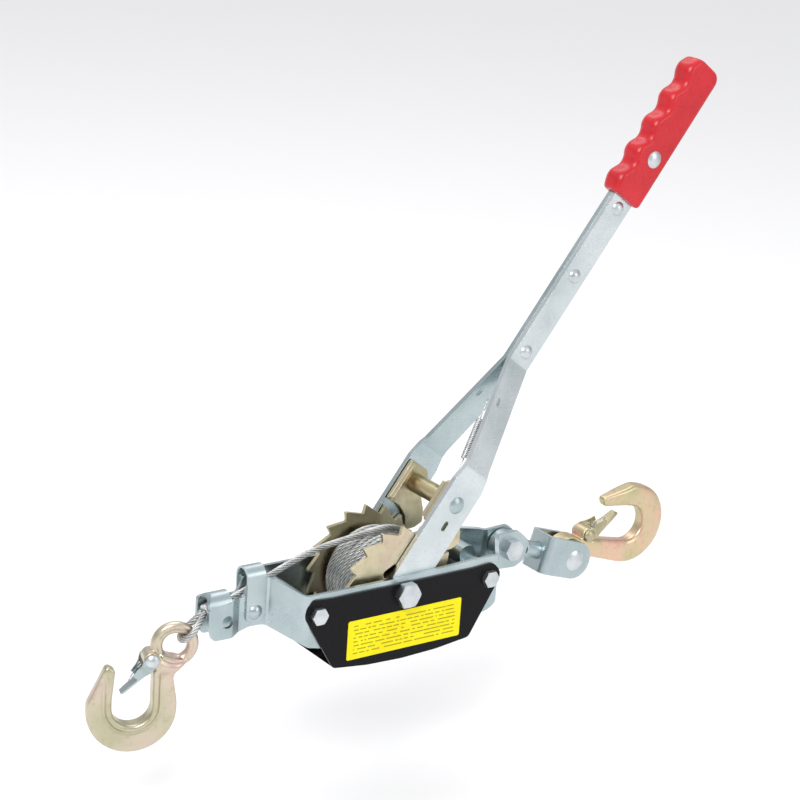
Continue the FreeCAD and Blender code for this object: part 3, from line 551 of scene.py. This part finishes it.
def forged_section(out, ridged):
    """The hook's thickness, as a share of its full one, at a distance out from the throat's wall."""
    if ridged:
        rim = 1 - ramp_up((out - RIM_WIDE) / RIM_FALL)
        groove = exp(-((out - RIM_GROOVE) / GROOVE_HALF) ** 2)
        return 0.70 + 0.30 * rim - 0.09 * groove - 0.08 * ramp_up((out - 9) / 9)
    return 1.0 - 0.30 * ((out - 8.5) / 10.5) ** 2


def forged_hook(name, eye, turn, throat_z, ridged, finish):
    """The hook with a shaped section, a tip drawn down thin and a groove or a clear bore in its eye."""
    node = name + "_hook"
    mesh = reskinned(node, 0.6, 9)
    back = turn.inverted()
    for vertex in mesh.vertices:
        x, y, z = (back @ (vertex.co - eye)) / MM
        out = hypot(x + THROAT_FROM_EYE, min(z - throat_z, 0.0)) - THROAT_RADIUS
        below_eye = ramp_up((PINS[name][1] - 6.0 - z) / 9.0)
        share = 1 + (forged_section(min(out, BOWL_WIDE), ridged) - 1) * below_eye
        if x < -THROAT_FROM_EYE:
            share *= 1 - 0.38 * ramp_up((z - throat_z - 6.0) / 26.0)
        reach = hypot(x, z)
        if ridged:
            share *= 1 - 0.22 * exp(-((reach - EYE_GROOVE) / GROOVE_HALF) ** 2) * (1 - below_eye)
        elif reach < ANCHOR_BORE:
            x *= ANCHOR_BORE / reach
            z *= ANCHOR_BORE / reach
        vertex.co = eye + turn @ (Vector((x, y * share, z)) * MM)
    piece = add_piece("forged_" + node, mesh, node, "gold_zinc", [node])
    piece.data.materials[0] = finish


for name, settings in HOOKS.items():
    forged_hook(name, *settings)

# ---------------------------------------------------------------- latches

HAIRPIN_APART = 2.2
CURL_PLACE = (8.4, -1.6)
CURL_RADIUS = 1.3
CURL_ANGLES = (0.5, -0.8, -2.2, -3.6, -4.9)
LATCHES = {
    "load": (LOAD_EYE, LOAD_TURN, 225.6, "zinc_steel", 1.0),
    "anchor": (ANCHOR_EYE, ANCHOR_TURN, 230.0, "gold_zinc", 0.55),
}


def hairpin_line():
    """The latch spring in the latch's own frame: out along one cheek, across, back, curled at both ends."""
    line = []
    for side in (-1, 1):
        arm = []
        for angle in CURL_ANGLES:
            x = CURL_PLACE[0] + CURL_RADIUS * cos(angle)
            z = CURL_PLACE[1] + CURL_RADIUS * sin(angle)
            arm.append((x, side * HAIRPIN_APART, z))
        arm += [(12.0, side * 2.1, -0.7), (20.0, side * 1.7, 0.6)]
        if side < 0:
            line += arm + [(22.4, 0.0, 1.0)]
        else:
            line += arm[::-1]
    return line


def pressed_latch(name, eye, turn, aim, slot, pinch):
    """The folded latch, drawn in beyond its rivet to a narrow web and low cheeks, and its spring."""
    node = name + "_latch"
    mesh = reskinned(node, 0.3, 2)
    pin_x, pin_z = PINS[name]
    hinge = eye + turn @ Vector((pin_x, 0, pin_z)) * MM
    aimed = turn @ Matrix.Rotation(radians(-aim), 3, "Y")
    back = aimed.inverted()
    for vertex in mesh.vertices:
        x, y, z = (back @ (vertex.co - hinge)) / MM
        y *= 1 - pinch * (0.38 * ramp_up((x - 5) / 7) - 0.19 * ramp_up((x - 12) / 19))
        if z < 0:
            z *= 1 - 0.4 * pinch * ramp_up((x - 3) / 5)
        vertex.co = hinge + aimed @ (Vector((x, y, z)) * MM)
    add_piece("pressed_" + node, mesh, node, slot, [node])
    points = [hinge + aimed @ (Vector(point) * MM) for point in hairpin_line()]
    add_wire_piece("hairpin_" + node, even_steps(smooth_line(points), 0.4 * MM), 0.4, node, node + "_spring")


for name, settings in LATCHES.items():
    pressed_latch(name, *settings)

# ---------------------------------------------------------------- grip

GRIP_ROUND = 4.6  # how far down the rounding reaches from the finger side
GRIP_FULL = 0.72


def moulded_shape():
    """The grip with its finger side rounded over, following the waves."""
    mesh = reskinned("handle_grip", 0.7, 7)
    back = Matrix.Rotation(HANDLE_TILT, 3, "Y")
    local = [(back @ (vertex.co - AXLE)) / MM for vertex in mesh.vertices]
    crest = {}
    for x, y, z in local:
        crest[round(x)] = max(crest.get(round(x), -100.0), z)
    for vertex, (x, y, z) in zip(mesh.vertices, local):
        low = int(x)
        top = crest.get(low, z) + (crest.get(low + 1, z) - crest.get(low, z)) * (x - low)
        into = min(max((GRIP_ROUND - (top - z)) / GRIP_ROUND, 0.0), 1.0)
        vertex.co = on_handle(x, y * sqrt(1 - GRIP_FULL * into * into), z)
    return mesh


add_piece("moulded_grip", moulded_shape(), "handle", "red_grip", ["handle_grip"])

# ---------------------------------------------------------------- wire rope

WRAP = 37.7
LEAVE = radians(96.2)
LAY = 24.0 * MM


def on_wrap(angle, radius=WRAP, y=0.0):
    """A point on a turn of rope about the drum."""
    return from_axle(radius * cos(angle), y, radius * sin(angle))


leave_point = on_wrap(LEAVE)
first_bend = leave_point + Vector((-sin(LEAVE), 0, cos(LEAVE))) * 58 * MM
FERRULE_IN = from_axle(-131, 0, 5.6)
FERRULE_OUT = from_axle(-145.5, 0, 1.5)

# The end of the run sinks back between the turns that it came off.
route = [on_wrap(radians(8), 33.5, 2.0), on_wrap(radians(28), 36.0, 1.2)]
for step in range(5):
    route.append(on_wrap(radians(44 + 12 * step), WRAP * 1.004))
route += [leave_point, leave_point.lerp(first_bend, 0.35), first_bend, from_axle(-111, 0, 12.0), FERRULE_IN]
add_rope_piece("laid_rope_run", route, 0.9, LAY, 16, 6, "frame", "wire_rope_run")

# The wound rope: one layer of turns side by side, a little uneven as hand winding leaves them.
TURNS = 8
PER_TURN = 16
WOUND = 32.6 * 1.012 / cos(pi / PER_TURN / 2) - 0.2  # a little out, because the smooth line cuts inside it
WOUND_HALF = 18.7
turns = []
for i in range(TURNS * PER_TURN + 1):
    share = i / (TURNS * PER_TURN)
    angle = 2 * pi * i / PER_TURN
    drift = 0.25 * sin(2.3 * angle) * sin(pi * share)
    turns.append(on_wrap(angle + radians(8), WOUND, -WOUND_HALF + 2 * WOUND_HALF * share + drift))
add_rope_piece("laid_rope_winding", turns, 1.9, LAY, 8, 0, "drum", "wire_rope_winding")

# The loop leaves the ferrule, goes round the load hook's ring and comes back.
LOOP = 7.1
LEG_APART = 2.45
RING_MIDDLE = 12.6
RING_ANGLE = radians(42)
ring_way = LOAD_TURN @ Vector((cos(RING_ANGLE), 0, sin(RING_ANGLE)))
ring_point = LOAD_EYE + ring_way * RING_MIDDLE * MM
loop_way = FERRULE_OUT - ring_point
loop_reach = loop_way.length / MM
loop_way.normalize()
side_way = LOAD_TURN @ ACROSS
side_way = (side_way - loop_way * side_way.dot(loop_way)).normalized()


def in_loop(along, side):
    """A point in the loop's plane, from the ring towards the ferrule and to one side."""
    return ring_point + loop_way * along * MM + side_way * side * MM


loop_route = [in_loop(loop_reach, LEG_APART), in_loop(loop_reach * 0.75, LEG_APART * 1.15)]
for step in range(9):
    angle = radians(64 + 29 * step)
    loop_route.append(in_loop(LOOP * 1.03 * cos(angle), LOOP * 1.03 * sin(angle)))
loop_route += [in_loop(loop_reach * 0.75, -LEG_APART * 1.15), in_loop(loop_reach, -LEG_APART)]
add_rope_piece("laid_rope_loop", loop_route, 0.9, LAY * 0.8, 16, 6, "frame", "rope_eye_loop")

# ---------------------------------------------------------------- springs


def helix(start, end, radius, turns, per_turn=16):
    """Points of a coil about the line from start to end."""
    way = (end - start).normalized()
    side = way.orthogonal().normalized()
    up = way.cross(side)
    points = []
    count = int(turns * per_turn)
    for i in range(count + 1):
        angle = 2 * pi * i / per_turn
        points.append(start.lerp(end, i / count) + (side * cos(angle) + up * sin(angle)) * radius)
    return points


spring_low = on_handle(91, -19.8, 7.2)
spring_high = on_handle(149.5, -6.6, 9.2)
spring_way = (spring_high - spring_low).normalized()
COIL_FROM = 13
COIL_TO = 44
END_HOOK = ((1.6, 1.5), (0.1, 1.3), (-0.2, 0.0))  # along the spring and across it


def by_spring(end, along, across=0.0):
    """A point so many millimetres from one end of the drive pawl's spring."""
    return end + spring_way * along * MM + ACROSS * across * MM


wire_line = [by_spring(spring_low, along, across) for along, across in END_HOOK]
wire_line += [by_spring(spring_low, 2.5), by_spring(spring_low, COIL_FROM - 1)]
wire_line += helix(by_spring(spring_low, COIL_FROM), by_spring(spring_low, COIL_TO), 2.15 * MM, 23)
wire_line += [by_spring(spring_low, COIL_TO + 1), by_spring(spring_high, -2.5)]
wire_line += [by_spring(spring_high, -along, across) for along, across in END_HOOK[::-1]]
add_wire_piece("coiled_pawl_spring", smooth_line(wire_line), 0.42, "handle", "drive_pawl_spring")

torsion = helix(PAWL_PIVOT + ACROSS * 25.4 * MM, PAWL_PIVOT + ACROSS * 26.5 * MM, 7.9 * MM, 1.9, 20)
add_wire_piece("coiled_torsion_spring", smooth_line(torsion), 0.45, "frame", "holding_pawl_spring")

# ---------------------------------------------------------------- camera, lights and floor

CAMERA_TURN = radians(-36.24)
CAMERA_HEIGHT = radians(18.64)
CAMERA_ROLL = radians(3.84)
# The drum axle in the camera's own axes, in millimetres: right of its line of sight, above it and away.
AXLE_RIGHT = -15.22
AXLE_UP = -126.84
CAMERA_AWAY = 1753.35

right = Vector((cos(CAMERA_TURN), sin(CAMERA_TURN), 0))
level = cos(CAMERA_HEIGHT)
ahead = Vector((-sin(CAMERA_TURN) * level, cos(CAMERA_TURN) * level, -sin(CAMERA_HEIGHT)))
up = right.cross(ahead)
rolled_right = right * cos(CAMERA_ROLL) + up * sin(CAMERA_ROLL)
rolled_up = up * cos(CAMERA_ROLL) - right * sin(CAMERA_ROLL)
eye = AXLE - (rolled_right * AXLE_RIGHT + rolled_up * AXLE_UP + ahead * CAMERA_AWAY) * MM
camera_data = bpy.data.cameras.new("camera")
camera_data.lens = 110.0
camera_data.sensor_width = 36.0
camera = bpy.data.objects.new("camera", camera_data)
camera_axes = Matrix((rolled_right, rolled_up, -ahead)).transposed()
camera.matrix_world = Matrix.Translation(eye) @ camera_axes.to_4x4()
bpy.context.collection.objects.link(camera)
bpy.context.scene.camera = camera

# The winch is held up by its hooks, so the floor lies below the lowest point that a hook swings to.
HOOK_SWING_ROOM = 0.055
floor_level = cad_box[0][2] - HOOK_SWING_ROOM
floor_mesh = bpy.data.meshes.new("floor")
grid = bmesh.new()
bmesh.ops.create_grid(grid, x_segments=2, y_segments=2, size=12.0)
grid.to_mesh(floor_mesh)
grid.free()
floor = bpy.data.objects.new("floor", floor_mesh)
floor.location = (0, 0, floor_level)
bpy.context.collection.objects.link(floor)
pale = bpy.data.materials.new("pale_floor")
pale.use_nodes = True
pale.node_tree.nodes["Principled BSDF"].inputs["Base Color"].default_value = (0.9, 0.9, 0.9, 1.0)
pale.node_tree.nodes["Principled BSDF"].inputs["Roughness"].default_value = 0.9
floor_mesh.materials.append(pale)

world = bpy.data.worlds.new("studio")
world.use_nodes = True
sky = world.node_tree.nodes.new("ShaderNodeTexCoord")
height = world.node_tree.nodes.new("ShaderNodeSeparateXYZ")
shade = world.node_tree.nodes.new("ShaderNodeValToRGB")
world.node_tree.links.new(sky.outputs["Generated"], height.inputs[0])
world.node_tree.links.new(height.outputs["Z"], shade.inputs["Fac"])
SKY = ((0.0, 0.98), (0.12, 0.80), (0.30, 0.56), (0.55, 1.0))  # height and grey
while len(shade.color_ramp.elements) < len(SKY):
    shade.color_ramp.elements.new(0.5)
for element, (position, grey) in zip(shade.color_ramp.elements, SKY):
    element.position = position
    element.color = (grey, grey, grey * 1.02, 1.0)
world.node_tree.links.new(shade.outputs["Color"], world.node_tree.nodes["Background"].inputs["Color"])
world.node_tree.nodes["Background"].inputs["Strength"].default_value = 0.9
bpy.context.scene.world = world
bpy.context.scene.view_settings.view_transform = "Standard"


def soft_light(name, place, size, power):
    """A square soft box that faces the drum."""
    data = bpy.data.lights.new(name, "AREA")
    data.energy = power
    data.size = size
    light = bpy.data.objects.new(name, data)
    light.location = place
    light.rotation_euler = (AXLE - Vector(place)).to_track_quat("-Z", "Y").to_euler()
    bpy.context.collection.objects.link(light)


soft_light("key", (-1.5, -1.1, 1.7), 1.0, 26)
soft_light("fill", (0.9, -1.9, 0.8), 1.2, 8)
soft_light("top", (0.1, 0.9, 2.0), 1.4, 13)
